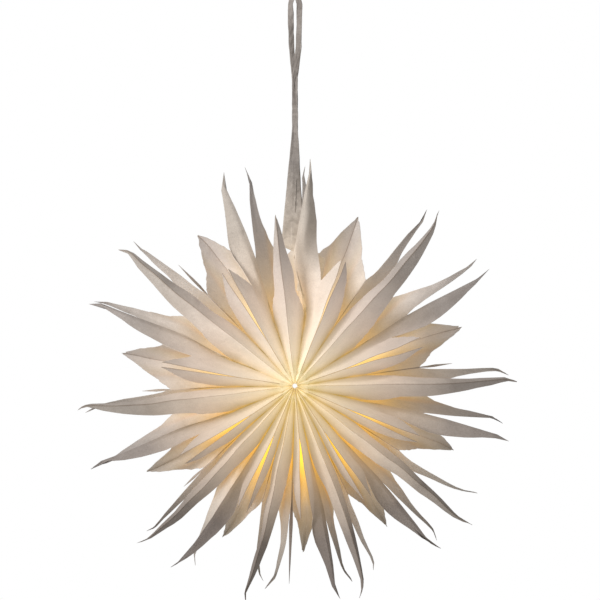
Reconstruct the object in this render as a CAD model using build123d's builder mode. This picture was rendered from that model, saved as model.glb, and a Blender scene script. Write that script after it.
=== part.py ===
"""Paper advent star: a fan of opened paper bags, glued side by side and hung by two paper ribbons.

Millimetres, +Z up. The star faces -Y and its axis runs along Y. The origin is the top of the
hanging loop. Angles round the star are degrees from straight up, growing towards +X.
"""
import os
from math import cos, degrees, radians, sin, sqrt, tan

from build123d import *

# Star
bag_count = 18            # bags in the fan, spiked and broad ones by turns
spike_radius = 296.0      # tips of the long spikes
diamond_radius = 238.0    # tips of the broad points
front_tip_radius = 190.0  # short points in front of the broad ones, before their fold is slit
notch_radius = 88.0       # foot of the cut beside each short point
valley_radius = 166.0     # foot of the gap between two bags, at the glue
cleft_radius = 172.0      # foot of the gap between the back spikes of one bag
core_radius = 6.0         # clear middle, where the bags meet the axis
fan_sag = 0.33            # how much wider the bags open at the top than at the bottom
fan_turn = -5.0           # the fan hangs turned by this, in degrees

# Bag
width_share = 0.54        # flat width, from front fold to back fold, by the spike radius
paper = 0.5               # sheet thickness
glue_strip = 8.0          # flat strip along which two bags are glued
glue_film = 0.1           # paste between two strips
bottom_glue = 18.0        # bags are glued over their whole width up to this radius
pleat_radius = 80.0       # beyond this radius only the strip is glued
fold_rim = 2.0            # fold that stands clear of the glue at the bottom
front_lean = 0.4          # front spikes lean up by this share of a bag's half angle
back_spike = 0.3          # back spikes stand at this share of the way from glue to fold
waist_share = 0.9         # how full a back spike is half way down to the cleft
shoulder_radius = 143.0   # front spikes narrow from here
shoulder_share = 0.57     # at this share of the way from glue to fold
neck_radius = 205.0       # and again from here
neck_share = 0.82
glue_spike = 0.12         # broad bags have a front spike beside their upper glue strip, at this share
glue_cleft_radius = 142.0  # foot of the gap between that spike and the short point
glue_cleft = 0.5          # at this share
slit_start = 62.0         # the front fold of a broad bag is slit open from this radius
slit_width = 11.0         # to this width at the short point
diamond_waist = 194.0     # broad points are straight from the valley through here to the tip
sleeve_over = 2.0         # uncut bags reach past the spikes by this
band_count = 6            # flat bands that follow a bag's curved panels beyond the pleat

# Lamp opening at the back
lamp_depth = 45.0         # the cone starts this far in front of the middle plane
lamp_radius = 62.0        # radius of the cone at the back folds

# Hanger
hanger_drop = 538.0       # from the loop's top to the star's middle
ribbon_width = 8.0        # each ribbon near the loop
ribbon_foot = 16.0        # each ribbon where it leaves the star
foot_low = 125.0          # the ribbons are glued beside the seam from this radius
seam_clear = 8.0          # and stay beside it to this far past the glued strip
leave_radius = 222.0      # radius at which both ribbons show side by side
leave_offset = 3.0        # their common edge there, from the middle
join_drop = 190.0         # the two ribbons come together, below the loop's top
part_drop = 88.0          # and part again
spread_drop = 40.0        # and stand furthest apart
spread = 9.6              # between the two ribbons' middle lines there

bag_width = width_share * spike_radius
half_width = bag_width / 2
strip_half = glue_strip / 2
beyond = 1.3              # cutting outlines reach past the folds by this factor
centre = Vector(0, 0, -hanger_drop)
fold_corners = (0, 3)     # of a bag's section, the corners that are folds
sleeve_end = spike_radius + sleeve_over
band = (sleeve_end - pleat_radius) / band_count
section_radii = [core_radius, bottom_glue] + [pleat_radius + band * step for step in range(band_count + 1)]


def glue_angle(index):
    """Angle of the glue line that follows a bag, by the sag of the fan."""
    even = 360.0 / bag_count * (index + 0.5)
    return even + degrees(fan_sag * sin(radians(even))) + fan_turn


def radial(angle):
    """Unit vector from the axis towards an angle."""
    return Vector(sin(radians(angle)), 0, cos(radians(angle)))


def tangent(angle):
    """Unit vector round the star, clockwise as seen from the front."""
    return Vector(cos(radians(angle)), 0, -sin(radians(angle)))


def fold_depth(radius, half_angle):
    """Distance of a fold from the middle plane, for a bag opened to a half angle."""
    return sqrt(half_width**2 - (radius * sin(radians(half_angle)))**2)


def inset(points, amount):
    """Corners of a closed outline moved inwards by an amount."""
    moved = []
    for before, here, after in zip(points[-1:] + points[:-1], points, points[1:] + points[:1]):
        first = (Vector(*here) - Vector(*before)).normalized()
        second = (Vector(*after) - Vector(*here)).normalized()
        first_normal = Vector(-first.Y, first.X)
        bisector = (first_normal + Vector(-second.Y, second.X)).normalized()
        step = bisector * (amount / bisector.dot(first_normal))
        moved.append((here[0] + step.X, here[1] + step.Y))
    return moved


def bag_section(radius, half_angle, lean):
    """Outline of an opened bag across its length: two folds and two glue strips."""
    depth = fold_depth(radius, half_angle)
    side = radius * tan(radians(half_angle)) - glue_film / 2
    front = radius * tan(radians(half_angle * lean))
    strip = strip_half if radius > bottom_glue else depth - fold_rim
    return [(front, -depth), (side, -strip), (side, strip), (0, depth), (-side, strip), (-side, -strip)]


def sleeve(sections):
    """Solid through a row of outlines, with the twisted walls folded into flat triangles."""
    faces = [Face(Wire.make_polygon(sections[0])), Face(Wire.make_polygon(sections[-1]))]
    corner_count = len(sections[0])
    for inner, outer in zip(sections, sections[1:]):
        for here in range(corner_count):
            there = (here + 1) % corner_count
            wall = [inner[here], outer[here], outer[there], inner[there]]
            if there in fold_corners:
                halves = [[wall[0], wall[1], wall[3]], [wall[1], wall[2], wall[3]]]
            else:
                halves = [[wall[0], wall[1], wall[2]], [wall[0], wall[2], wall[3]]]
            faces += [Face(Wire.make_polygon(points)) for points in halves]
    return Solid(Shell(faces))


def across(radius, share, half_angle):
    """Distance from the middle plane at a share of the way from the glue strip to the fold."""
    return strip_half + share * (fold_depth(radius, half_angle) - strip_half)


def broad_cut(half_angle, upper):
    """Outer edge of one side of a bag with a short point in front and a broad one behind."""
    front = fold_depth(front_tip_radius, half_angle)
    back = -fold_depth(diamond_radius, half_angle)
    spike = [
        (glue_cleft_radius, across(glue_cleft_radius, glue_cleft, half_angle)),
        (spike_radius, across(spike_radius, glue_spike, half_angle)),
    ]
    return [
        (front_tip_radius, front * beyond),
        (front_tip_radius, front),
        *(spike if upper else []),
        (notch_radius, strip_half),
        (valley_radius, strip_half / 2),
        (valley_radius, -strip_half),
        (diamond_waist, -across(diamond_waist, 0.5, half_angle)),
        (diamond_radius, back),
        (diamond_radius, back * beyond),
    ]


def spiked_cut(half_angle):
    """Outer edge of a bag with a long spike on its front fold and two behind, beside the glue."""
    tip = fold_depth(spike_radius, half_angle)
    foot = fold_depth(cleft_radius, half_angle)
    waist = (cleft_radius + spike_radius) / 2
    return [
        (spike_radius, tip * beyond),
        (spike_radius, tip),
        (neck_radius, across(neck_radius, neck_share, half_angle)),
        (shoulder_radius, across(shoulder_radius, shoulder_share, half_angle)),
        (notch_radius, strip_half),
        (valley_radius, strip_half / 2),
        (valley_radius, -strip_half),
        (spike_radius, -across(spike_radius, back_spike, half_angle)),
        (waist, -(tip + foot) / 2 * (back_spike + 1) / 2 * waist_share),
        (cleft_radius, -foot),
        (cleft_radius, -foot * beyond),
    ]


def lamp_edge():
    """Inner edge of a bag, opening behind into a cone for a lamp."""
    depth = half_width * beyond
    back_radius = core_radius + (lamp_radius - core_radius) * (lamp_depth + depth) / (lamp_depth + half_width)
    return [(back_radius, -depth), (core_radius, lamp_depth), (core_radius, depth)]


def make_bag(index):
    """One paper bag, opened between its two glue lines and cut through from the side."""
    start = glue_angle(index - 1)
    end = glue_angle(index)
    angle = (start + end) / 2
    half_angle = (end - start) / 2
    spiked = index % 2 == 0
    upwards = -1 if angle < 180 else 1
    lean = front_lean * upwards if spiked else 0

    def wall_sections(skin):
        rows = []
        for radius in section_radii:
            place = Plane(centre + radial(angle) * radius, x_dir=tangent(angle), z_dir=radial(angle))
            corners = inset(bag_section(radius, half_angle, lean), skin)
            rows.append([place.from_local_coords(Vector(*corner)) for corner in corners])
        return rows

    with BuildPart() as kept:
        for side in (-1, 1):
            outline = spiked_cut(half_angle) if spiked else broad_cut(half_angle, side == upwards)
            with BuildSketch(Plane(centre, x_dir=radial(angle), z_dir=tangent(angle))):
                Polygon(*lamp_edge(), *outline, align=None)
            extrude(amount=side * spike_radius)
    with BuildPart() as bag:
        add(sleeve(wall_sections(0)))
        add(sleeve(wall_sections(paper)), mode=Mode.SUBTRACT)
        add(kept.part, mode=Mode.INTERSECT)
        if not spiked:
            with BuildSketch(Plane(centre, x_dir=radial(angle), z_dir=(0, -1, 0))):
                Polygon((slit_start, 0), (front_tip_radius, slit_width / 2),
                        (front_tip_radius, -slit_width / 2), align=None)
            extrude(amount=bag_width, mode=Mode.SUBTRACT)
    bag.part.label = f"bag_{index + 1:02d}"
    return bag.part


def beside_seam(radius, across):
    """Point in the middle plane beside the seam where the fan's two ends meet."""
    point = centre + radial(glue_angle(0)) * radius + tangent(glue_angle(0)) * across
    return (point.X, point.Z)


def make_ribbon(side, name):
    """One paper ribbon, glued beside the seam: side is -1 for the left one and 1 for the right one."""
    seat = side * (paper + glue_film)
    foot = side * ribbon_foot
    half = ribbon_width / 2
    shift = side * spread / 2
    leave_height = leave_radius - hanger_drop
    outline = [
        beside_seam(foot_low, seat),
        beside_seam(valley_radius + seam_clear, seat),
        (leave_offset, leave_height),
        (-side * half, -join_drop),
        (-side * half, -part_drop),
        (shift - side * half, -spread_drop),
        (-side * half, 0),
        (side * half, 0),
        (shift + side * half, -spread_drop),
        (side * half, -part_drop),
        (side * half, -join_drop),
        (leave_offset + foot, leave_height),
        beside_seam(valley_radius + seam_clear, foot),
        beside_seam(foot_low, foot),
    ]
    layer = glue_film / 2 if side < 0 else -glue_film / 2 - paper
    with BuildPart() as ribbon:
        with BuildSketch(Plane.XZ.offset(layer)):
            Polygon(*outline, align=None)
        extrude(amount=paper)
    ribbon.part.label = name
    return ribbon.part


pieces = [make_bag(index) for index in range(bag_count)]
pieces.append(make_ribbon(-1, "ribbon_left"))
pieces.append(make_ribbon(1, "ribbon_right"))

os.makedirs("parts", exist_ok=True)
for piece in pieces:
    export_step(piece, f"parts/{piece.label}.step")
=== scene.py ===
"""Looks of the paper advent star: crinkled paper bags and ribbons, lit from inside.

Metres, in the frame of the solids: +Z up, the star faces -Y, the origin is the top of the loop.
Angles round the star are degrees from straight up, growing towards +X. Bags count from 0.
On a bag's panel a share runs from 0 at the glue strip to 1 at the fold. A hand is 1 for the half of a bag
that lies clockwise as seen from the front, which is its right half, and -1 for its left half.
"""
import math

import bpy
import numpy as np
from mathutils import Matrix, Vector


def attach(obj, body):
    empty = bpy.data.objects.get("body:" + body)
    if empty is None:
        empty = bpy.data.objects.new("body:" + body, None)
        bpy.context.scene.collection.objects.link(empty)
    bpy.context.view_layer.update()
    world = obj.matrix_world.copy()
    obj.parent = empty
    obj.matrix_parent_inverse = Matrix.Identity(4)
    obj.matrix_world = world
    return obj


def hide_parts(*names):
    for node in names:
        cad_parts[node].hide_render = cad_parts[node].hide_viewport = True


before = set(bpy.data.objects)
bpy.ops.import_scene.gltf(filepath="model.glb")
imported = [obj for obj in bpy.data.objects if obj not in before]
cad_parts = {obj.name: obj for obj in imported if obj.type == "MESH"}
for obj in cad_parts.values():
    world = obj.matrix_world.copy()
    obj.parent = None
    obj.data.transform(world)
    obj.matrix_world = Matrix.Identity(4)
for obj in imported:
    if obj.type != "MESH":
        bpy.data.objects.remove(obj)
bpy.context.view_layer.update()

# Star
BAG_COUNT = 18            # spiked bags have even numbers, broad bags odd ones
SPIKE_RADIUS = 0.296      # tips of the long spikes
DIAMOND_RADIUS = 0.245    # tips of the broad points
FRONT_TIP_RADIUS = 0.178  # short points in front of the broad ones
NOTCH_RADIUS = 0.088      # foot of the cut beside a front point
VALLEY_RADIUS = 0.166     # foot of the gap between two bags, at the glue
CLEFT_RADIUS = 0.172      # foot of the gap between the back spikes of one bag
CORE_RADIUS = 0.003       # open middle
FAN_SAG = 0.33            # how much wider the bags open at the top than at the bottom
FAN_TURN = -5.0           # the fan hangs turned by this, in degrees
HANGER_DROP = 0.538       # from the loop's top to the star's middle
CENTRE = np.array([0.0, 0.0, -HANGER_DROP])

# Bag
WIDTH_SHARE = 0.54        # flat width, from fold to fold, by the spike radius
HALF_WIDTH = WIDTH_SHARE * SPIKE_RADIUS / 2
PAPER = 0.0005            # sheet thickness
STRIP_HALF = 0.004        # half of the strip along which two bags are glued
GLUE_FILM = 0.0001        # paste between two strips
BOTTOM_GLUE = 0.018       # bags are glued over their whole width up to this radius
PLEAT_RADIUS = 0.080      # and only along the strip from this one
FOLD_RIM = 0.002          # fold that stands clear of the glue at the bottom
LAMP_DEPTH = 0.045        # the open cone behind starts this far in front of the middle plane
LAMP_RADIUS = 0.062       # and has this radius at the back folds
SLIT_START = 0.062        # the front fold of a broad bag is slit open from this radius
SLIT_WIDTH = 0.011        # to this width at the short point, by a factor for each bag
SLIT_OPEN = {1: 0.5, 3: 1.2, 5: 0.8, 7: 1.0, 9: 1.5, 11: 1.2, 13: 1.2, 15: 0.6, 17: 0.9}

# Cut edges, as (share, radius) stops
BACK_SPIKE = 0.3          # share at which the back spikes of a spiked bag stand
GLUE_SPIKE = 0.12         # share at which the front spike of a broad bag stands, beside its upper glue
GLUE_CLEFT = 0.5          # foot of the gap between that spike and the short point
GLUE_CLEFT_RADIUS = 0.142
GLUE_WAIST_RADIUS = 0.216  # half way between the two
TAIL = 0.268              # the long spikes end in a thin tail from here
SPIKED_FRONT = ((0, NOTCH_RADIUS), (0.57, 0.143), (0.77, 0.205), (0.93, TAIL), (1, SPIKE_RADIUS))
SPIKED_BACK = ((0, VALLEY_RADIUS), (0.13, 0.183), (0.21, 0.226), (0.26, TAIL), (BACK_SPIKE, SPIKE_RADIUS),
               (0.345, TAIL), (0.44, 0.226), (0.6, 0.196), (0.8, 0.180), (1, CLEFT_RADIUS))
BROAD_FRONT = ((0, NOTCH_RADIUS), (1, FRONT_TIP_RADIUS))
BROAD_FRONT_SPIKE = ((0, NOTCH_RADIUS), (0.09, TAIL), (GLUE_SPIKE, SPIKE_RADIUS), (0.16, TAIL),
                     (0.31, GLUE_WAIST_RADIUS), (GLUE_CLEFT, GLUE_CLEFT_RADIUS), (1, FRONT_TIP_RADIUS))
BROAD_BACK = ((0, VALLEY_RADIUS), (0.5, 0.194), (1, DIAMOND_RADIUS))
FRONT_LENGTH = {0: 0.68}  # front spikes that are cut shorter, by a factor
STRAYS = {3: 0.211, 4: 0.227, 6: 0.222, 9: 0.272, 12: 0.204, 14: 0.204, 16: 0.222}  # tips at the glue lines
STRAY_RUN = 0.02          # a tip at the glue line turns to the front over this length
STRAY_TURN = 0.8          # by this much
CORE_RAGGED = 0.0008      # how ragged the edge is at the middle
RAGGED = 0.0006           # and outside
TIP_RAGGED = 0.0022       # and more so at the tips
TIP_RAGGED_START = 0.22
TIP_RAGGED_RUN = 0.07
LEAST_LENGTH = 0.004      # shortest line of paper from the inner edge to the outer one

# Leaning and curling of the points
FRONT_LEAN = 0.4          # front spikes lean up by this share of a bag's half angle
FRONT_LEANS = {0: 0.12, 14: 0.6}  # or, in these bags, by this one
# How far the tips lean round the star, in millimetres. Spiked bags: front, back right and back left tip.
# Broad bags: the tip beside the glue and the broad point.
SWAYS = {
    0: (0, -16, 13), 2: (-4, 4, 0), 4: (-5, -8, 3), 6: (9, -3, -14), 8: (16, -7, 0),
    10: (14, -18, 14), 12: (9, -6, -13), 14: (9, -8, -13), 16: (6, -7, -9),
    1: (0, -2), 3: (0, 3), 5: (-3, 0), 7: (-1, 3), 9: (2, 11),
    11: (18, 8), 13: (9, 10), 15: (6, 1), 17: (-3, -10),
}
MILLIMETRE = 0.001
CURL = 0.014              # tips curl to the front or back by up to this
TIP_RUN = 0.02            # over its last stretch a tip hooks
HOOK = 0.010              # sideways by up to this
LEAST_HOOK = 0.4          # and by at least this share of it
HOOK_POWER = 1.6
TUCK = 0.010              # and to the front or back by up to this
LENGTH_VARY = 0.003       # points are longer or shorter by up to this
LOW_SHORTER = 0.014       # points behind are shorter at the bottom of the star by this
BACK_RIDGE = 0.003        # back spikes are folded along their middle by this
BACK_RIDGE_HALF = 0.16    # share over which the fold fades out
BACK_RIDGE_RUN = 0.04

# The front spikes beside the glue
GLUE_SWAY = {1: -0.029, 13: 0.007, 15: 0.010}  # they lean round the star by this
GLUE_SWAY_START = 0.095
GLUE_SWAY_RUN = 0.07
OPENED = {1: 0.15, 13: 0.5, 15: 0.3}  # and are turned open to the front by this factor
OPENED_START = 0.11
OPENED_RUN = 0.08
OPENED_ROUND = 0.07       # sideways by this much for each share
OPENED_BACK = 0.05        # and backwards by this much
GLUE_RIDGE = 0.005        # and folded along their middle by this
GLUE_RIDGE_START = 0.10
GLUE_RIDGE_RUN = 0.06
GLUE_RIDGE_NEAR = 0.12    # share over which the fold fades out towards the glue
GLUE_RIDGE_FAR = 0.2      # and away from it
FOLDED = {1: 0.16}        # half of the spike is folded back by this much for each share
FOLDED_LINE = ((GLUE_CLEFT_RADIUS, 0.26), (GLUE_WAIST_RADIUS, 0.19), (TAIL, GLUE_SPIKE))  # radius, share
FOLDED_ROUND = 0.03       # share over which that fold is rounded
FOLDED_RUN = 0.06

# Crinkles of the panels
PANELS = ("front_right", "front_left", "back_right", "back_left")
BAG_SEED = 100
WAVE_WEIGHTS = (0.4, 1.0)  # least and most that a single wave counts
CRINKLE_START = 0.03      # they grow from this radius
CRINKLE_RUN = 0.12        # over this length
FRONT_BOW = 0.0022        # panels belly out by this
BACK_BOW = 0.0008
CRINKLE = 0.0028          # and crinkle by this
CRINKLE_WAVES = 5
CRINKLE_PITCH = 34
CRINKLE_ALONG = 3         # stretch of the crinkles along a panel
CRINKLE_ACROSS = 0.12     # and across it
WOBBLE = 0.0012           # folds wander by this
WOBBLE_WAVES = 3
WOBBLE_PITCH = 60
WOBBLE_ALONG = 2

# Where painted light and shade fall on the paper, as point data for the finish
LOW_POWER = 1.35          # how slowly the painted shade on the bags deepens from the top of the star to the bottom
FOLD_SHADE_WIDTH = 0.012      # share over which a fold gets painted shade
GROOVE_GLOW_WEIGHT = 0.66       # painted glow of the outer side at the glue, dimmer in the groove
GROOVE_SHARE = 0.5        # up to the full painted glow here
STRIP_GLOW_WEIGHT = 0.36        # painted glow of the strips and front panels from inside
INNER_GLOW_WEIGHT = 0.47        # painted glow of the back panels from inside, at the glue
INNER_FADE = 0.22         # which falls by this
INNER_FADE_START = 0.095
INNER_FADE_RUN = 0.045
FOLD_GLOW_START = 0.45   # and grows to the full painted glow towards the fold
FOLD_GLOW_RUN = 0.4

# Hanger
RIBBON_WIDTH = 0.008      # each ribbon near the loop
RIBBON_FOOT = 0.016       # each ribbon where it leaves the star
FOOT_LOW = 0.125          # the ribbons are glued beside the seam from this radius
SEAM_CLEAR = 0.008        # and stay beside it to this far past the glued strip
LEAVE_RADIUS = 0.187      # radius at which both ribbons show side by side
LEAVE_OFFSET = -0.003     # their common edge there, from the middle
LEAVE_LAP = 0.003         # by which they overlap there
JOIN_DROP = 0.190         # the two ribbons come together, below the loop's top
PART_DROP = 0.124         # and part again
SWELL_DROP = 0.080        # and stand apart by the swell
SWELL = 0.0098
SPREAD_DROP = 0.022       # and by the spread, furthest
SPREAD = 0.0122
RIBBON_SEED = 7
RIBBON_WAVES = 6
RIBBON_PITCH = 260
LOOSE_RUN = 0.05          # the ribbons come loose over this height
TWIST_RUN = 0.12          # and twist freely after this one
LEAST_TWIST = 0.15        # with this share at first
TWIST = 0.45              # radians
TWIST_PITCH = 46
TWIST_VARY = 0.3
CRUMPLE = 0.0009          # and are crumpled by this
CRUMPLE_ALONG = 1.6
CRUMPLE_ACROSS = 3
CRUMPLE_SHEAR = 0.01
RIBBON_LAYER = 0.0006     # each ribbon lies this far from the middle plane
FOOT_FADE = 0.300         # the feet are lighter, with a painted glow, up to this radius

# Camera, from the photo: one pixel is 1.36 mm in the star's middle plane
PIXEL = 0.00136
STAR_PIXEL = (295.0, 383.5)
FRAME_PIXELS = 600.0
CAMERA_DISTANCE = 2.6
SENSOR_WIDTH = 36.0       # millimetres

# Mesh: columns round a bag in runs of (first share, last share, count), rows along it
ROWS = 46
STRIP_COLUMNS = 7
LAST_RUN = 0.94
FOLD_COLUMNS = (0.97, 0.988, 1.0)
COARSE_RUNS = ((0, LAST_RUN, 21),)
FINE_RUNS = ((0, LAST_RUN, 28),)
GLUE_SPIKE_RUNS = ((0, GLUE_SPIKE, 7), (GLUE_SPIKE, GLUE_CLEFT, 13), (GLUE_CLEFT, LAST_RUN, 12))
BACK_SPIKE_RUNS = ((0, 0.18, 6), (0.18, BACK_SPIKE, 7), (BACK_SPIKE, 0.48, 8), (0.48, LAST_RUN, 11))
CONE_STEPS = 400          # places tried along a column for the edge of the open cone
SHARP_ANGLE = 38          # degrees
RIBBON_ROWS = 190
RIBBON_COLUMNS = 9

BLACK = (0.0, 0.0, 0.0)
WHITE = (1.0, 1.0, 1.0)


def glue_angle(index):
    """Angle of the glue line that follows a bag, by the sag of the fan."""
    even = 360.0 / BAG_COUNT * (index + 0.5)
    return even + math.degrees(FAN_SAG * math.sin(math.radians(even))) + FAN_TURN


def radial(angle):
    """Unit vector from the axis towards an angle."""
    return np.array([math.sin(math.radians(angle)), 0.0, math.cos(math.radians(angle))])


def tangent(angle):
    """Unit vector round the star, clockwise as seen from the front."""
    return np.array([math.cos(math.radians(angle)), 0.0, -math.sin(math.radians(angle))])


def rise(value, start, run):
    """From 0 up to the start to 1 past the run, straight between."""
    return np.clip((value - start) / run, 0, 1)


def eased(value):
    """A rise with soft ends."""
    return value**2 * (3 - 2 * value)


def waves(rng, count, pitch):
    """A few random plane waves that sum to a smooth crinkle."""
    return [(rng.uniform(-pitch, pitch), rng.uniform(-pitch, pitch), rng.uniform(0, 2 * math.pi),
             rng.uniform(*WAVE_WEIGHTS)) for _ in range(count)]


def crinkle(rows, a, b):
    """Value of a sum of waves, about -1 to 1."""
    total = sum(weight * np.sin(ka * a + kb * b + phase) for ka, kb, phase, weight in rows)
    return total / sum(row[3] for row in rows)


def shares_of(runs):
    """Shares of the mesh columns from glue to fold, run by run."""
    places = [np.linspace(*run)[min(number, 1):] for number, run in enumerate(runs)]
    return np.concatenate([*places, FOLD_COLUMNS])


def hand_of(part):
    """Half of a bag to which a part belongs."""
    return 1 if part.endswith("right") else -1


def normals(points, wrapped):
    """Unit normals of a grid of points, which may be closed round its columns."""
    if wrapped:
        along = np.roll(points, -1, 0) - np.roll(points, 1, 0)
    else:
        along = np.gradient(points, axis=0)
    normal = np.cross(along, np.gradient(points, axis=1))
    return normal / np.maximum(np.linalg.norm(normal, axis=2, keepdims=True), 1e-12)


def thick_sheet(name, points, normal, wrapped):
    """Closed mesh of a sheet with its thickness, and its points: the outer side first, then the inner."""
    count, rows = points.shape[:2]
    size = count * rows
    vertices = np.concatenate([points.reshape(-1, 3), (points - normal * PAPER).reshape(-1, 3)])
    grid = np.arange(size).reshape(count, rows)
    here = grid if wrapped else grid[:-1]
    there = np.roll(grid, -1, 0) if wrapped else grid[1:]
    quads = np.stack([here[:, :-1], here[:, 1:], there[:, 1:], there[:, :-1]], -1).reshape(-1, 4)
    faces = [quads, quads[:, ::-1] + size]

    def add_rim(first, second, step):
        """Faces between the two sides along an edge, turned round where the step is -1."""
        rim = np.stack([first, second, second + size, first + size], -1)
        faces.append(rim[:, ::step])

    add_rim(here[:, 0], there[:, 0], 1)
    add_rim(here[:, -1], there[:, -1], -1)
    if not wrapped:
        add_rim(grid[0, 1:], grid[0, :-1], 1)
        add_rim(grid[-1, 1:], grid[-1, :-1], -1)
    mesh = bpy.data.meshes.new(name)
    mesh.from_pydata(vertices.tolist(), [], np.concatenate(faces).tolist())
    mesh.update()
    mesh.shade_smooth()
    return mesh, vertices


def set_point_data(mesh, name, values):
    """A number for each point, which the finish reads by its name."""
    mesh.attributes.new(name, "FLOAT", "POINT").data.foreach_set("value", values.astype(np.float32))


class Bag:
    """One opened paper bag: its section, its cut and its crinkles."""

    def __init__(self, index):
        start = glue_angle(index - 1)
        end = glue_angle(index)
        self.rng = np.random.default_rng(BAG_SEED + index)
        self.angle = (start + end) / 2
        self.half_angle = math.radians((end - start) / 2)
        self.spiked = index % 2 == 0
        upwards = -1 if self.angle < 180 else 1
        self.lean = FRONT_LEANS.get(index, FRONT_LEAN) * upwards if self.spiked else 0.0
        self.glue_side = 0 if self.spiked else upwards
        self.slit = SLIT_WIDTH / 2 * SLIT_OPEN.get(index, 0.0)
        self.stray = {1: STRAYS.get(index, VALLEY_RADIUS), -1: VALLEY_RADIUS}
        # how far down the star the bag hangs, which sets its painted shade and painted glow
        self.low = (0.5 - 0.5 * math.cos(math.radians(self.angle)))**LOW_POWER
        self.front_length = FRONT_LENGTH.get(index, 1.0)
        self.glue_sway = GLUE_SWAY.get(index, 0.0)
        self.opened = OPENED.get(index, 1.0)
        self.folded = FOLDED.get(index, 0.0)
        self.bend = {panel: waves(self.rng, CRINKLE_WAVES, CRINKLE_PITCH) for panel in PANELS}
        self.front_wobble = waves(self.rng, WOBBLE_WAVES, WOBBLE_PITCH)
        self.back_wobble = waves(self.rng, WOBBLE_WAVES, WOBBLE_PITCH)
        self.spikes = [self.rng.uniform(-1, 1, 5) for _ in range(4)]
        sways = SWAYS[index] if self.spiked else (0, SWAYS[index][1], 0, SWAYS[index][0])
        for spike, sway in zip(self.spikes, sways):
            spike[0] = sway * MILLIMETRE

    def depth(self, radius):
        """Distance of a fold from the middle plane."""
        return np.sqrt(HALF_WIDTH**2 - (radius * math.sin(self.half_angle))**2)

    def strip(self, radius):
        """Half width of the glued strip, which narrows from the whole width to the strip further out."""
        share = rise(radius, BOTTOM_GLUE, PLEAT_RADIUS - BOTTOM_GLUE)
        return (self.depth(radius) - FOLD_RIM) * (1 - share) + STRIP_HALF * share

    def side(self, radius):
        """Distance of the glue from the bag's middle."""
        return radius * math.tan(self.half_angle) - GLUE_FILM / 2

    def columns(self):
        """Round the section: (part, share) with the share from glue to fold, or across the strip."""
        spike = shares_of(GLUE_SPIKE_RUNS)
        plain = shares_of(FINE_RUNS if self.spiked else COARSE_RUNS)
        back = shares_of(BACK_SPIKE_RUNS) if self.spiked else plain
        right = spike if self.glue_side > 0 else plain
        left = spike if self.glue_side < 0 else plain
        across = np.linspace(-1, 1, STRIP_COLUMNS + 2)[1:-1]
        rows = [("front_right", share) for share in right[::-1]]
        rows += [("strip_right", share) for share in across]
        rows += [("back_right", share) for share in back]
        rows += [("back_left", share) for share in back[::-1][1:]]
        rows += [("strip_left", -share) for share in across]
        rows += [("front_left", share) for share in (left[:-1] if self.spiked else left)]
        return rows

    def section(self, part, share, radius):
        """Place across the bag, sideways and along the axis, at a radius."""
        hand = hand_of(part)
        side = self.side(radius)
        strip = self.strip(radius)
        if part.startswith("strip"):
            return hand * side, share * strip
        face = -1 if part.startswith("front") else 1
        fold = 0.0
        if face < 0:
            opening = rise(radius, SLIT_START, FRONT_TIP_RADIUS - SLIT_START)
            fold = radius * math.tan(self.half_angle * self.lean) + hand * self.slit * opening
        depth = self.depth(radius)
        return hand * side * (1 - share) + fold * share, face * (strip + share * (depth - strip))

    def inner_radius(self, part, share):
        """Where the paper starts: at the core in front, at the open cone behind."""
        radius = np.linspace(CORE_RADIUS, PLEAT_RADIUS, CONE_STEPS)
        _, y = self.section(part, share, radius)
        cone = CORE_RADIUS + (LAMP_RADIUS - CORE_RADIUS) * (LAMP_DEPTH + y) / (LAMP_DEPTH + HALF_WIDTH)
        blocked = np.nonzero(radius < np.maximum(cone, CORE_RADIUS) - 1e-9)[0]
        return radius[min(blocked[-1] + 1, len(radius) - 1)] if len(blocked) else CORE_RADIUS

    def outer_radius(self, part, share):
        """Where the paper is cut."""
        hand = hand_of(part)
        if part.startswith("strip"):
            return VALLEY_RADIUS + (self.stray[hand] - VALLEY_RADIUS) * (1 - abs(share))
        if part.startswith("back"):
            cut = SPIKED_BACK if self.spiked else BROAD_BACK
        elif self.spiked:
            cut = SPIKED_FRONT
        else:
            cut = BROAD_FRONT_SPIKE if hand == self.glue_side else BROAD_FRONT
        radius = float(np.interp(share, *zip(*cut)))
        if part.startswith("front") and self.spiked:
            radius = NOTCH_RADIUS + (radius - NOTCH_RADIUS) * self.front_length
        return radius

    def on_glue_spike(self, part, share):
        """Whether a column belongs to the front spike beside the glue."""
        return part.startswith("front") and hand_of(part) == self.glue_side and share < GLUE_CLEFT

    def spike_of(self, part, share):
        """Number of the bag's point to which a column belongs."""
        if part.startswith("front"):
            return 3 if self.on_glue_spike(part, share) else 0
        return 1 if part.endswith("right") or not self.spiked else 2

    def crinkled(self, part, share, radius, x):
        """Sideways place of a panel with its belly and crinkles, on the bag's own side of the glue."""
        hand = hand_of(part)
        front = part.startswith("front")
        spread = rise(radius, CRINKLE_START, CRINKLE_RUN)
        belly = math.sin(math.pi * share)
        ripple = crinkle(self.bend[part], radius * CRINKLE_ALONG, share * CRINKLE_ACROSS)
        bow = (FRONT_BOW if front else BACK_BOW) * belly + CRINKLE * belly * ripple
        wander = crinkle(self.front_wobble if front else self.back_wobble, radius * WOBBLE_ALONG, 0.0)
        x = x + hand * bow * spread + WOBBLE * share * spread * wander
        return hand * np.minimum(hand * x, self.side(radius))

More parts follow.
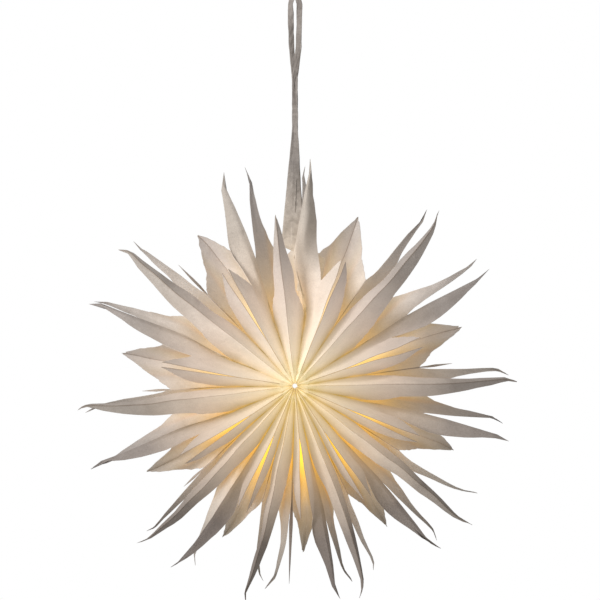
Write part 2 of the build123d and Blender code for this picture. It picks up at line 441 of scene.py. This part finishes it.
    def spread_spike(self, share, radius, x, y):
        """Place on the front spike beside the glue, once it leans, is turned open and folded."""
        leaned = eased(rise(radius, GLUE_SWAY_START, GLUE_SWAY_RUN))
        x = x + self.glue_sway * leaned * (1 - (share / GLUE_CLEFT)**2)
        aside = share - GLUE_SPIKE
        opened = self.opened * rise(radius, OPENED_START, OPENED_RUN)
        opened = opened * (1 - max(aside / (GLUE_CLEFT - GLUE_SPIKE), 0)**3) * aside
        x = x - self.glue_side * OPENED_ROUND * opened
        y = y + OPENED_BACK * opened
        ridge = max(1 - abs(aside) / (GLUE_RIDGE_NEAR if aside < 0 else GLUE_RIDGE_FAR), 0)
        y = y - GLUE_RIDGE * ridge * rise(radius, GLUE_RIDGE_START, GLUE_RIDGE_RUN)
        beyond = share - np.interp(radius, *zip(*FOLDED_LINE))
        behind = (beyond + np.sqrt(beyond**2 + FOLDED_ROUND**2)) / 2
        y = y + self.folded * behind * eased(rise(radius, GLUE_CLEFT_RADIUS, FOLDED_RUN))
        return x, y

    def curled(self, part, share, radius, x, y):
        """Place on a panel, once its point leans, hooks and curls."""
        front = part.startswith("front")
        sway, curl, hook, length, tuck = self.spikes[self.spike_of(part, share)]
        past = rise(radius, CLEFT_RADIUS, SPIKE_RADIUS - CLEFT_RADIUS)
        leaning = past
        if not front and not self.spiked:
            leaning = rise(radius, VALLEY_RADIUS, DIAMOND_RADIUS - VALLEY_RADIUS)
        end = rise(radius, SPIKE_RADIUS - TIP_RUN, TIP_RUN)
        hooked = math.copysign(LEAST_HOOK + (1 - LEAST_HOOK) * abs(hook), hook) * HOOK
        x = x + leaning**2 * sway + end**HOOK_POWER * hooked
        y = y + past**2 * curl * CURL + end**2 * tuck * TUCK
        if self.on_glue_spike(part, share):
            x, y = self.spread_spike(share, radius, x, y)
        if self.spiked and not front:
            ridge = max(1 - abs(share - BACK_SPIKE) / BACK_RIDGE_HALF, 0)
            y = y + BACK_RIDGE * ridge * rise(radius, CLEFT_RADIUS, BACK_RIDGE_RUN)
        shorter = 0.0 if front else LOW_SHORTER * self.low
        return radius + past**2 * (length * LENGTH_VARY - shorter), x, y

    def sheet(self, columns):
        """Points of the paper's outer side, by column and row, and their point data."""
        shape = (len(columns), ROWS)
        points = np.zeros((*shape, 3))
        reach = np.zeros(shape)
        fold_shade = np.zeros(shape)
        painted_glow_weight = np.zeros(shape)
        inner_painted_glow_weight = np.full(shape, STRIP_GLOW_WEIGHT)
        out, round_, axis = radial(self.angle), tangent(self.angle), np.array([0.0, 1.0, 0.0])
        for number, (part, share) in enumerate(columns):
            first = self.inner_radius(part, share) + abs(self.rng.normal(0, CORE_RAGGED))
            last = self.outer_radius(part, share)
            ragged = RAGGED + TIP_RAGGED * rise(last, TIP_RAGGED_START, TIP_RAGGED_RUN)
            last = max(last + self.rng.normal(0, ragged), first + LEAST_LENGTH)
            radius = first + (last - first) * np.linspace(0, 1, ROWS)
            x, y = self.section(part, share, radius)
            if part.startswith("strip"):
                x = x + rise(radius, VALLEY_RADIUS, STRAY_RUN) * share * STRIP_HALF * STRAY_TURN
            else:
                x = self.crinkled(part, share, radius, x)
                radius, x, y = self.curled(part, share, radius, x, y)
                fold_shade[number] = math.exp(-((1 - share) / FOLD_SHADE_WIDTH)**2)
                painted_glow_weight[number] = GROOVE_GLOW_WEIGHT + (1 - GROOVE_GLOW_WEIGHT) * min(share / GROOVE_SHARE, 1)
            if part.startswith("back"):
                near = INNER_GLOW_WEIGHT - INNER_FADE * rise(radius, INNER_FADE_START, INNER_FADE_RUN)
                inner_painted_glow_weight[number] = near + (1 - near) * rise(share, FOLD_GLOW_START, FOLD_GLOW_RUN)
            points[number] = CENTRE + radius[:, None] * out + np.outer(x, round_) + np.outer(y, axis)
            reach[number] = radius / SPIKE_RADIUS
        return points, reach, fold_shade, painted_glow_weight, inner_painted_glow_weight

    def mesh(self, name):
        """Closed paper mesh, with the point data that the finish reads."""
        columns = self.columns()
        points, reach, fold_shade, painted_glow_weight, inner_painted_glow_weight = self.sheet(columns)
        normal = normals(points, self.spiked)
        out = radial(self.angle)
        spine = CENTRE + np.einsum("cri,i->cr", points - CENTRE, out)[..., None] * out
        if np.mean(np.sum(normal * (points - spine), axis=2)) < 0:
            normal = -normal
        mesh, _ = thick_sheet(name, points, normal, self.spiked)
        parts = [part for part, share in columns]
        tones = {part: self.rng.uniform(0, 1) for part in sorted(set(parts))}
        tone = np.array([[tones[part]] for part in parts]) * np.ones_like(reach)
        low = np.full_like(reach, self.low)
        for key, outer_value, inner_value in (
                ("reach", reach, reach), ("tone", tone, tone), ("low", low, low),
                ("fold_shade", fold_shade, fold_shade), ("painted_glow_weight", painted_glow_weight, inner_painted_glow_weight),
                ("inside", np.zeros_like(reach), np.ones_like(reach))):
            set_point_data(mesh, key, np.concatenate([outer_value.ravel(), inner_value.ravel()]))
        mesh.set_sharp_from_angle(angle=math.radians(SHARP_ANGLE))
        return mesh


def ribbon_mesh(side):
    """One crinkled paper ribbon, from its foot beside the seam up to the loop's top: side is -1 or 1."""
    seam = glue_angle(0)
    folds = waves(np.random.default_rng(RIBBON_SEED + side), RIBBON_WAVES, RIBBON_PITCH)

    def beside_seam(radius, across):
        """Point beside the seam of the fan, as (x, z)."""
        point = CENTRE + radial(seam) * radius + tangent(seam) * across
        return (point[0], point[2])

    def edge(across, at_leave, half):
        """One edge as (x, z) rows: beside the seam at the foot, half a width from the middle above."""
        corners = np.array([
            beside_seam(FOOT_LOW, across),
            beside_seam(VALLEY_RADIUS + SEAM_CLEAR, across),
            (at_leave, LEAVE_RADIUS - HANGER_DROP),
            (side * half, -JOIN_DROP),
            (side * half, -PART_DROP),
            (side * (SWELL / 2 + half), -SWELL_DROP),
            (side * (SPREAD / 2 + half), -SPREAD_DROP),
            (side * half, 0.0),
        ])
        station = np.linspace(0, len(corners) - 1, RIBBON_ROWS)
        return np.stack([np.interp(station, range(len(corners)), corners[:, k]) for k in (0, 1)], -1)

    foot = side * RIBBON_FOOT
    inner = edge(side * (PAPER + GLUE_FILM), LEAVE_OFFSET - side * LEAVE_LAP, -RIBBON_WIDTH / 2)
    outer = edge(foot, LEAVE_OFFSET + foot, RIBBON_WIDTH / 2)
    middle = (inner + outer) / 2
    height = inner[:, 1]
    above = height + HANGER_DROP - LEAVE_RADIUS
    free = np.clip(above / LOOSE_RUN, 0, 1) * np.clip(above / TWIST_RUN, LEAST_TWIST, 1)
    turn = free * (TWIST * np.sin(height * TWIST_PITCH + side) + TWIST_VARY * crinkle(folds, height, 0.0))
    points = []
    for t in np.linspace(0, 1, RIBBON_COLUMNS):
        line = inner * (1 - t) + outer * t
        reach = line[:, 0] - middle[:, 0]
        place = line[:, 1] * CRUMPLE_ALONG + CRUMPLE_ACROSS * t
        crumple = CRUMPLE * crinkle(folds, place, CRUMPLE_SHEAR * t)
        depth = reach * np.sin(turn) + free * crumple - side * RIBBON_LAYER
        points.append(np.stack([middle[:, 0] + reach * np.cos(turn), depth, line[:, 1]], -1))
    points = np.array(points)
    mesh, vertices = thick_sheet("ribbon", points, normals(points, False), False)
    sunk = (FOOT_FADE - HANGER_DROP - vertices[:, 2]) / (FOOT_FADE - VALLEY_RADIUS)
    set_point_data(mesh, "foot", np.clip(sunk, 0, 1))
    return mesh


class Finish:
    """A paper material, built node by node."""

    def __init__(self, name, roughness):
        self.material = bpy.data.materials.new(name)
        self.material.use_nodes = True
        self.nodes = self.material.node_tree.nodes
        self.links = self.material.node_tree.links
        self.shader = self.nodes["Principled BSDF"]
        self.shader.inputs["Roughness"].default_value = roughness
        self.shader.inputs["Specular IOR Level"].default_value = 0.2
        self.place = self.nodes.new("ShaderNodeTexCoord").outputs["Object"]

    def point_data(self, name):
        """A mesh's point data."""
        node = self.nodes.new("ShaderNodeAttribute")
        node.attribute_name = name
        return node.outputs["Fac"]

    def noise(self, scale, detail, distortion):
        """Cloudy noise in the object's own space."""
        node = self.nodes.new("ShaderNodeTexNoise")
        node.inputs["Scale"].default_value = scale
        node.inputs["Detail"].default_value = detail
        node.inputs["Distortion"].default_value = distortion
        self.links.new(self.place, node.inputs["Vector"])
        return node.outputs["Fac"]

    def ramp(self, source, *stops):
        """Colours by a source, from (position, colour) stops."""
        node = self.nodes.new("ShaderNodeValToRGB")
        elements = node.color_ramp.elements
        while len(elements) < len(stops):
            elements.new(0.5)
        for element, (position, colour) in zip(elements, stops):
            element.position = position
            element.color = (*colour, 1)
        self.links.new(source, node.inputs["Fac"])
        return node.outputs["Color"]

    def mix(self, kind, first, second, factor=None):
        """Two colours put together, fully or by a factor. The numbers are the node's colour sockets."""
        node = self.nodes.new("ShaderNodeMix")
        node.data_type = "RGBA"
        node.blend_type = kind
        node.inputs["Factor"].default_value = 1.0
        if factor is not None:
            self.links.new(factor, node.inputs["Factor"])
        self.links.new(first, node.inputs[6])
        self.links.new(second, node.inputs[7])
        return node.outputs[2]

    def bump(self, height, strength, distance, below=None):
        """Fine relief from a height, over another relief."""
        node = self.nodes.new("ShaderNodeBump")
        node.inputs["Strength"].default_value = strength
        node.inputs["Distance"].default_value = distance
        self.links.new(height, node.inputs["Height"])
        if below is not None:
            self.links.new(below, node.inputs["Normal"])
        return node.outputs["Normal"]

    def grain(self, colour, scale):
        """Mottling and fibres over a colour, and their relief."""
        mottle = self.ramp(self.noise(0.1 * scale, 6, 0.6),
                           (0.3, (0.88, 0.87, 0.86)), (0.7, (1.05, 1.05, 1.05)))
        fibre = self.ramp(self.noise(scale, 8, 2.5),
                          (0.34, (0.86, 0.85, 0.84)), (0.62, (1.05, 1.05, 1.05)))
        colour = self.mix("MULTIPLY", self.mix("MULTIPLY", colour, mottle), fibre)
        self.links.new(colour, self.shader.inputs["Base Color"])
        wrinkle = self.bump(self.noise(0.07 * scale, 4, 1.2), 0.45, 0.004)
        relief = self.bump(self.noise(1.2 * scale, 7, 1.5), 0.5, 0.0006, wrinkle)
        self.links.new(relief, self.shader.inputs["Normal"])

    def glow(self, colour):
        """Painted glow: emission that makes the paper look lit by the lamp inside, though paper is no lamp.
        """
        self.links.new(colour, self.shader.inputs["Emission Color"])
        self.shader.inputs["Emission Strength"].default_value = 1.0


def star_paper():
    """Fibrous off-white paper, darker towards the tips, with painted shade lower on the star and along the
    folds, and a painted warm glow towards the middle.
    """
    finish = Finish("star_paper", 0.88)
    reach = finish.point_data("reach")
    inside = finish.point_data("inside")
    low = finish.point_data("low")
    # Painted shade: bags low on the star take the darker low ramps, as though the light came from above.
    # The inner ramps are lighter than the outer ones at mid reach, painted light for light coming through
    # the paper.
    high_outer = finish.ramp(reach, (0.0, (0.53, 0.455, 0.385)), (0.45, (0.53, 0.462, 0.405)),
                             (0.75, (0.46, 0.418, 0.38)), (1.0, (0.38, 0.35, 0.327)))
    low_outer = finish.ramp(reach, (0.0, (0.51, 0.425, 0.34)), (0.45, (0.47, 0.395, 0.335)),
                            (0.72, (0.25, 0.218, 0.195)), (1.0, (0.175, 0.158, 0.147)))
    high_inner = finish.ramp(reach, (0.0, (0.53, 0.46, 0.38)), (0.60, (0.63, 0.585, 0.545)),
                             (0.80, (0.52, 0.485, 0.455)), (1.0, (0.33, 0.305, 0.285)))
    low_inner = finish.ramp(reach, (0.0, (0.53, 0.45, 0.36)), (0.60, (0.56, 0.51, 0.475)),
                            (0.80, (0.31, 0.284, 0.264)), (1.0, (0.16, 0.145, 0.135)))
    outer = finish.mix("MIX", high_outer, low_outer, low)
    inner = finish.mix("MIX", high_inner, low_inner, low)
    tone = finish.ramp(finish.point_data("tone"), (0.0, (0.85, 0.84, 0.855)),
                       (0.5, (0.99, 0.975, 0.965)), (1.0, (1.12, 1.11, 1.08)))
    # Painted shade: a dark line along each fold, on the colour and on the glow.
    line = finish.ramp(finish.point_data("fold_shade"), (0.0, WHITE), (1.0, (0.62, 0.56, 0.50)))
    colour = finish.mix("MULTIPLY", finish.mix("MIX", outer, inner, inside), tone)
    finish.grain(finish.mix("MULTIPLY", colour, line), 340)

    # Painted light: the paper's emission stands in for the lamp inside shining through it. It is warm and
    # bright near the middle and fades out towards the tips. The inner sides of the low bags glow stronger
    # and more orange, and the tint turns the glow yellower low on the star.
    outer_glow = finish.ramp(reach, (0.0, (0.63, 0.51, 0.17)), (0.05, (0.43, 0.35, 0.10)),
                             (0.14, (0.435, 0.38, 0.26)), (0.28, (0.34, 0.30, 0.235)),
                             (0.41, (0.26, 0.218, 0.18)), (0.56, (0.125, 0.108, 0.096)), (0.72, BLACK))
    high_inner_glow = finish.ramp(reach, (0.0, (0.55, 0.46, 0.26)), (0.20, (0.70, 0.54, 0.22)),
                                  (0.36, (0.58, 0.455, 0.22)), (0.50, (0.33, 0.275, 0.19)),
                                  (0.64, (0.20, 0.18, 0.156)), (0.80, (0.10, 0.093, 0.087)), (1.0, BLACK))
    low_inner_glow = finish.ramp(reach, (0.0, (0.60, 0.46, 0.16)), (0.20, (0.98, 0.74, 0.07)),
                                 (0.36, (0.92, 0.60, 0.06)), (0.48, (0.48, 0.32, 0.11)),
                                 (0.60, (0.22, 0.185, 0.145)), (0.80, (0.08, 0.073, 0.066)), (1.0, BLACK))
    inner_glow = finish.mix("MIX", high_inner_glow, low_inner_glow, low)
    glow = finish.mix("MIX", outer_glow, inner_glow, inside)
    tint = finish.ramp(low, (0.0, WHITE), (0.9, (1.0, 0.965, 0.80)))
    # Painted glow weight: dimmer and yellower in the grooves at the glue, full towards the folds.
    painted_glow_weight = finish.ramp(finish.point_data("painted_glow_weight"), (0.0, BLACK), (0.25, (0.46, 0.45, 0.44)),
                        (0.46, (0.64, 0.46, 0.24)), (0.66, (0.78, 0.70, 0.50)), (1.0, (1.0, 0.985, 1.0)))
    glow = finish.mix("MULTIPLY", finish.mix("MULTIPLY", glow, tint), painted_glow_weight)
    finish.glow(finish.mix("MULTIPLY", glow, line))
    return finish.material


def ribbon_paper():
    """Crumpled grey paper, lighter at the foot, with a painted warm glow there beside the star."""
    finish = Finish("ribbon_paper", 0.92)
    grey = finish.ramp(finish.noise(90, 5, 1.0), (0.35, (0.37, 0.34, 0.312)), (0.65, (0.50, 0.465, 0.43)))
    foot = finish.point_data("foot")
    shade = finish.ramp(foot, (0.0, (0.60, 0.585, 0.585)), (0.35, (0.86, 0.83, 0.80)),
                        (1.0, (1.12, 1.06, 0.98)))
    finish.grain(finish.mix("MULTIPLY", grey, shade), 420)
    # Painted light: the foot glows warm, though the ribbon is no lamp.
    finish.glow(finish.ramp(foot, (0.5, BLACK), (0.8, (0.10, 0.085, 0.065)), (1.0, (0.26, 0.21, 0.14))))
    return finish.material


def add_piece(name, mesh, material, node):
    """A mesh that stands for a solid."""
    piece = bpy.data.objects.new(name, mesh)
    bpy.context.scene.collection.objects.link(piece)
    mesh.materials.append(material)
    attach(piece, "root")
    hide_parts(node)


def add_world():
    """Even studio light, in front of a white background."""
    world = bpy.data.worlds.new("studio")
    bpy.context.scene.world = world
    world.use_nodes = True
    nodes, links = world.node_tree.nodes, world.node_tree.links
    light = nodes["Background"]
    light.inputs["Color"].default_value = (1.0, 0.985, 0.97, 1)
    light.inputs["Strength"].default_value = 0.46
    seen = nodes.new("ShaderNodeBackground")
    seen.inputs["Color"].default_value = (*WHITE, 1)
    seen.inputs["Strength"].default_value = 1.0
    path = nodes.new("ShaderNodeLightPath")
    choose = nodes.new("ShaderNodeMixShader")
    links.new(path.outputs["Is Camera Ray"], choose.inputs["Fac"])
    links.new(light.outputs["Background"], choose.inputs[1])
    links.new(seen.outputs["Background"], choose.inputs[2])
    links.new(choose.outputs["Shader"], nodes["World Output"].inputs["Surface"])


def add_floor():
    """Pale round floor under the hanging star."""
    reach, level, steps = 1.6, -1.15, 64
    turns = [2 * math.pi * step / steps for step in range(steps)]
    mesh = bpy.data.meshes.new("floor")
    mesh.from_pydata([(reach * math.cos(turn), reach * math.sin(turn), level) for turn in turns], [],
                     [tuple(range(steps))])
    floor = bpy.data.objects.new("floor", mesh)
    bpy.context.scene.collection.objects.link(floor)
    pale = bpy.data.materials.new("pale_floor")
    pale.use_nodes = True
    shader = pale.node_tree.nodes["Principled BSDF"]
    shader.inputs["Base Color"].default_value = (0.9, 0.9, 0.89, 1)
    shader.inputs["Roughness"].default_value = 0.8
    mesh.materials.append(pale)


def add_lights():
    """A soft key light from the upper left, and a weak warm light inside the star."""
    key = bpy.data.lights.new("key", "AREA")
    key.size = 0.9
    key.energy = 46
    key_lamp = bpy.data.objects.new("key", key)
    bpy.context.scene.collection.objects.link(key_lamp)
    key_lamp.location = (-1.35, -1.62, 0.35)
    aim = Vector(CENTRE) - key_lamp.location
    key_lamp.rotation_euler = aim.to_track_quat("-Z", "Y").to_euler()

    glow = bpy.data.lights.new("lamp_glow", "POINT")
    glow.energy = 0.12
    glow.color = (1.0, 0.84, 0.55)
    glow.shadow_soft_size = 0.015
    glow_lamp = bpy.data.objects.new("lamp_glow", glow)
    glow_lamp.location = CENTRE + np.array([0, 0.005, 0])
    bpy.context.scene.collection.objects.link(glow_lamp)


def add_camera():
    """The photo's camera, level with the middle of the frame."""
    camera = bpy.data.cameras.new("camera")
    camera.sensor_width = SENSOR_WIDTH
    camera.lens = SENSOR_WIDTH * CAMERA_DISTANCE / (FRAME_PIXELS * PIXEL)
    eye = bpy.data.objects.new("camera", camera)
    bpy.context.scene.collection.objects.link(eye)
    middle_x = (FRAME_PIXELS / 2 - STAR_PIXEL[0]) * PIXEL
    middle_z = CENTRE[2] + (STAR_PIXEL[1] - FRAME_PIXELS / 2) * PIXEL
    eye.location = (middle_x, -CAMERA_DISTANCE, middle_z)
    eye.rotation_euler = (math.radians(90), 0, 0)
    bpy.context.scene.camera = eye


bpy.context.scene.view_settings.view_transform = "Standard"
add_world()
add_floor()
add_lights()
add_camera()

paper = star_paper()
for index in range(BAG_COUNT):
    node = f"bag_{index + 1:02d}"
    add_piece(f"paper_{node}", Bag(index).mesh(node), paper, node)

ribbon = ribbon_paper()
for side, node in ((-1, "ribbon_left"), (1, "ribbon_right")):
    add_piece(f"paper_{node}", ribbon_mesh(side), ribbon, node)
